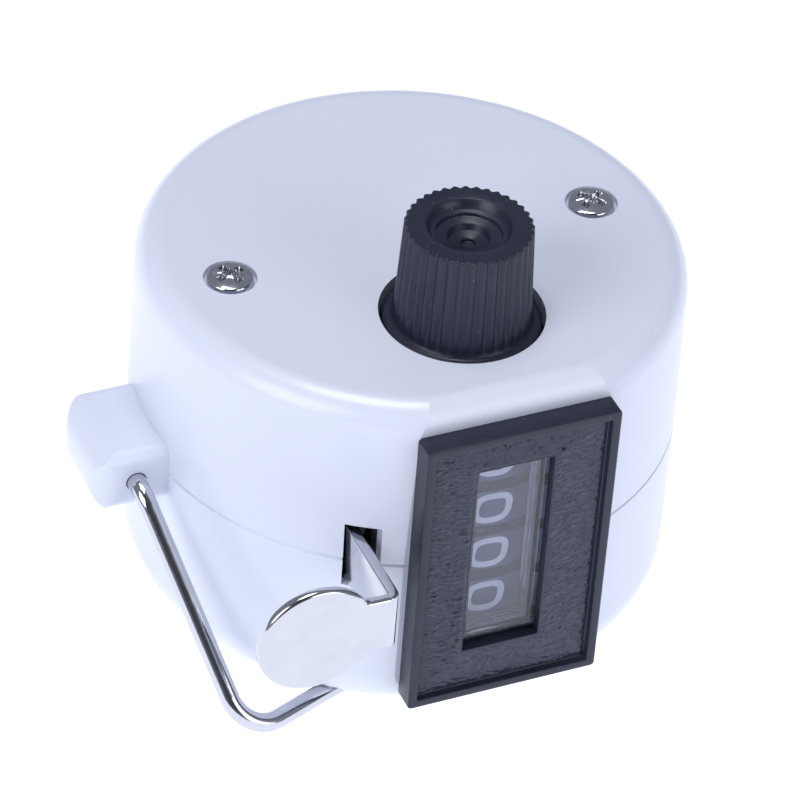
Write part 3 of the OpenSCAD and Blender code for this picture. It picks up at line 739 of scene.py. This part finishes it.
def pad_outline(neck):
    """Points of the neck and pad with their outward directions; the pad's middle is at 0, 0."""
    half, fillet = STRIP_H / 2, NECK_FILLET
    side_x = math.sqrt((PAD_R + fillet) ** 2 - (half + fillet) ** 2)
    lean = math.degrees(math.atan2(half + fillet, side_x))
    out = [((neck, half), (0.0, 1.0))]
    out += [((x, z), ((side_x - x) / fillet, (half + fillet - z) / fillet))
            for x, z in arc(side_x, half + fillet, fillet, -90, -180 + lean, 6)]
    out += [((x, z), (x / PAD_R, z / PAD_R)) for x, z in arc(0, 0, PAD_R, lean, 360 - lean, 120)]
    out += [((x, z), ((side_x - x) / fillet, (-half - fillet - z) / fillet))
            for x, z in arc(side_x, -half - fillet, fillet, 180 - lean, 90, 6)]
    return out + [((neck, -half), (0.0, -1.0))]


def lever_pad(shell, pad_x, front, mid_z, neck):
    """Neck and thumb pad with a rolled front edge."""
    rolled = [(PAD_LIP - PAD_LIP * math.sin(t), PAD_LIP - PAD_LIP * math.cos(t))
              for t in (0, 0.25, 0.5, 0.8, 1.1, 1.35, math.pi / 2)]
    rolled += [(0, PAD_T - 0.16), (0.05, PAD_T - 0.04), (0.16, PAD_T)]
    outline = pad_outline(neck)
    rings = []
    for inset, depth in rolled:
        rings.append([(pad_x + x - nx * inset, front + depth, mid_z + z - nz * inset)
                      for (x, z), (nx, nz) in outline])
    shell.loops(rings, closed=True, caps=(True, True))


def lever_tab(shell, strip_x, mid_z, top):
    """Riser and tab that carry the pawl."""
    pin_lo, pin_hi = box_mm("pawl_pin")
    pin_y = (pin_lo.y + pin_hi.y) / 2
    for x1, z0 in ((strip_x + SHEET / 2, mid_z + STRIP_H / 2 - 1), (pin_hi.x + 0.5, top - 0.6)):
        outline = rounded_rect(strip_x - SHEET / 2, z0, x1, top, 0.1, 2)
        shell.loops([[(x, y, z) for x, z in outline] for y in (pin_y - 1.5, pin_y + 1.5)], caps=(True, True))


def build_lever():
    lo, hi = box_mm("thumb_lever")
    spring_lo, spring_hi = box_mm("lever_spring")
    strip_x = (spring_lo.x + spring_hi.x) / 2
    mid_z = (spring_lo.z + spring_hi.z) / 2
    front, pad_x = lo.y, lo.x + PAD_R
    rear = hi.y - 1.5
    shell = Shell()
    centre = lever_strip(shell, strip_x, front, rear, mid_z)
    lever_pad(shell, pad_x, front, mid_z, centre[0] - pad_x)
    lever_tab(shell, strip_x, mid_z, hi.z)
    # tail pin
    tail = [(0.7, rear - 0.4), (TAIL_R, rear - 0.3), (TAIL_R, hi.y - 0.12), (TAIL_R - 0.12, hi.y)]
    shell.turned(tail, lambda x, y, h: (strip_x + x, h, mid_z + y), 32, caps=(True, True))
    shell.piece("thumb_lever_plated", "lever", [finishes["nickel"]], ("thumb_lever",), sharp=45)


build_lever()


# ---------------------------------------------------------------- studio

FLOOR_HALF = 1.5               # half the floor's width in metres
AIR_DARKEST = (-0.338, -0.701, 0.628)    # direction in which the surroundings are darkest
LAMP_AIM = (0, 0, 0.015)
# name, place, size and power
LAMPS = (("soft_left", (-0.62, -0.22, 0.42), 0.45, 2.4),
         ("soft_front", (0.35, -0.70, 0.28), 0.5, 1.7),
         ("soft_top", (-0.05, 0.05, 0.80), 0.35, 3.0))


def studio_floor():
    mesh = bpy.data.meshes.new("studio_floor")
    s = FLOOR_HALF
    mesh.from_pydata([(-s, -s, 0), (s, -s, 0), (s, s, 0), (-s, s, 0)], [], [(0, 1, 2, 3)])
    f = Finish("pale_paper", (0.35, 0.35, 0.35), 0.9)
    f.set("Emission Color", (0.85, 0.88, 1.0, 1.0))
    f.set("Emission Strength", 1.08)
    f.bump(f.noise(2.0, 3.0), 0.01, 0.2)
    mesh.materials.append(f.mat)
    floor = bpy.data.objects.new("studio_floor", mesh)
    bpy.context.scene.collection.objects.link(floor)
    floor.location = (0, 0, first_box[0].z)


def studio_air():
    """Soft bluish surroundings, darker in one direction."""
    world = bpy.data.worlds.new("studio_air")
    world.use_nodes = True
    nodes, links = world.node_tree.nodes, world.node_tree.links
    back = nodes["Background"]
    back.inputs["Strength"].default_value = 1.0
    where = nodes.new("ShaderNodeTexCoord")
    facing = nodes.new("ShaderNodeVectorMath")
    facing.operation = "DOT_PRODUCT"
    facing.inputs[1].default_value = AIR_DARKEST
    shade = nodes.new("ShaderNodeMapRange")
    shade.interpolation_type = "SMOOTHSTEP"
    for key, value in {"From Min": 0.55, "From Max": 0.97, "To Min": 0.31, "To Max": 0.08}.items():
        shade.inputs[key].default_value = value
    tint = nodes.new("ShaderNodeVectorMath")
    tint.operation = "SCALE"
    tint.inputs[0].default_value = (0.80, 0.84, 1.0)
    links.new(where.outputs["Generated"], facing.inputs[0])
    links.new(facing.outputs["Value"], shade.inputs["Value"])
    links.new(shade.outputs["Result"], tint.inputs["Scale"])
    links.new(tint.outputs["Vector"], back.inputs["Color"])
    bpy.context.scene.world = world


def studio_lamps():
    for name, place, size, power in LAMPS:
        lamp = bpy.data.lights.new(name, "AREA")
        lamp.shape = "SQUARE"
        lamp.size = size
        lamp.energy = power
        lamp.color = (0.93, 0.95, 1.0)
        ob = bpy.data.objects.new(name, lamp)
        ob.location = place
        ob.rotation_mode = "QUATERNION"
        ob.rotation_quaternion = (Vector(LAMP_AIM) - Vector(place)).to_track_quat("-Z", "Y")
        bpy.context.scene.collection.objects.link(ob)


studio_floor()
studio_air()
studio_lamps()
bpy.context.scene.view_settings.view_transform = "Standard"


# ---------------------------------------------------------------- camera

AIM_OFF = Vector((-0.21, -0.29, -0.43))    # from the middle of the case to the point aimed at
AZIMUTH, ELEVATION, ROLL = -25.77, 38.9, 4.44
DISTANCE = 0.383


def camera():
    """Camera fitted to the photo's view of the case."""
    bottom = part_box("lower_housing")[0].z
    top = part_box("upper_housing")[1].z
    target = Vector((0, 0, (bottom + top) / 2)) + AIM_OFF * MM
    a, e = math.radians(AZIMUTH), math.radians(ELEVATION)
    back = Vector((math.sin(a) * math.cos(e), -math.cos(a) * math.cos(e), math.sin(e)))
    right = (-back).cross(Vector((0, 0, 1))).normalized()
    up = right.cross(-back)
    c, s = math.cos(math.radians(ROLL)), math.sin(math.radians(ROLL))
    axes = Matrix((c * right + s * up, c * up - s * right, back)).transposed()
    data = bpy.data.cameras.new("photo_view")
    data.sensor_width = 36.0
    data.lens = 214.5
    data.clip_start, data.clip_end = 0.05, 5.0
    ob = bpy.data.objects.new("photo_view", data)
    ob.matrix_world = Matrix.Translation(target + back * DISTANCE) @ axes.to_4x4()
    bpy.context.scene.collection.objects.link(ob)
    bpy.context.scene.camera = ob


camera()
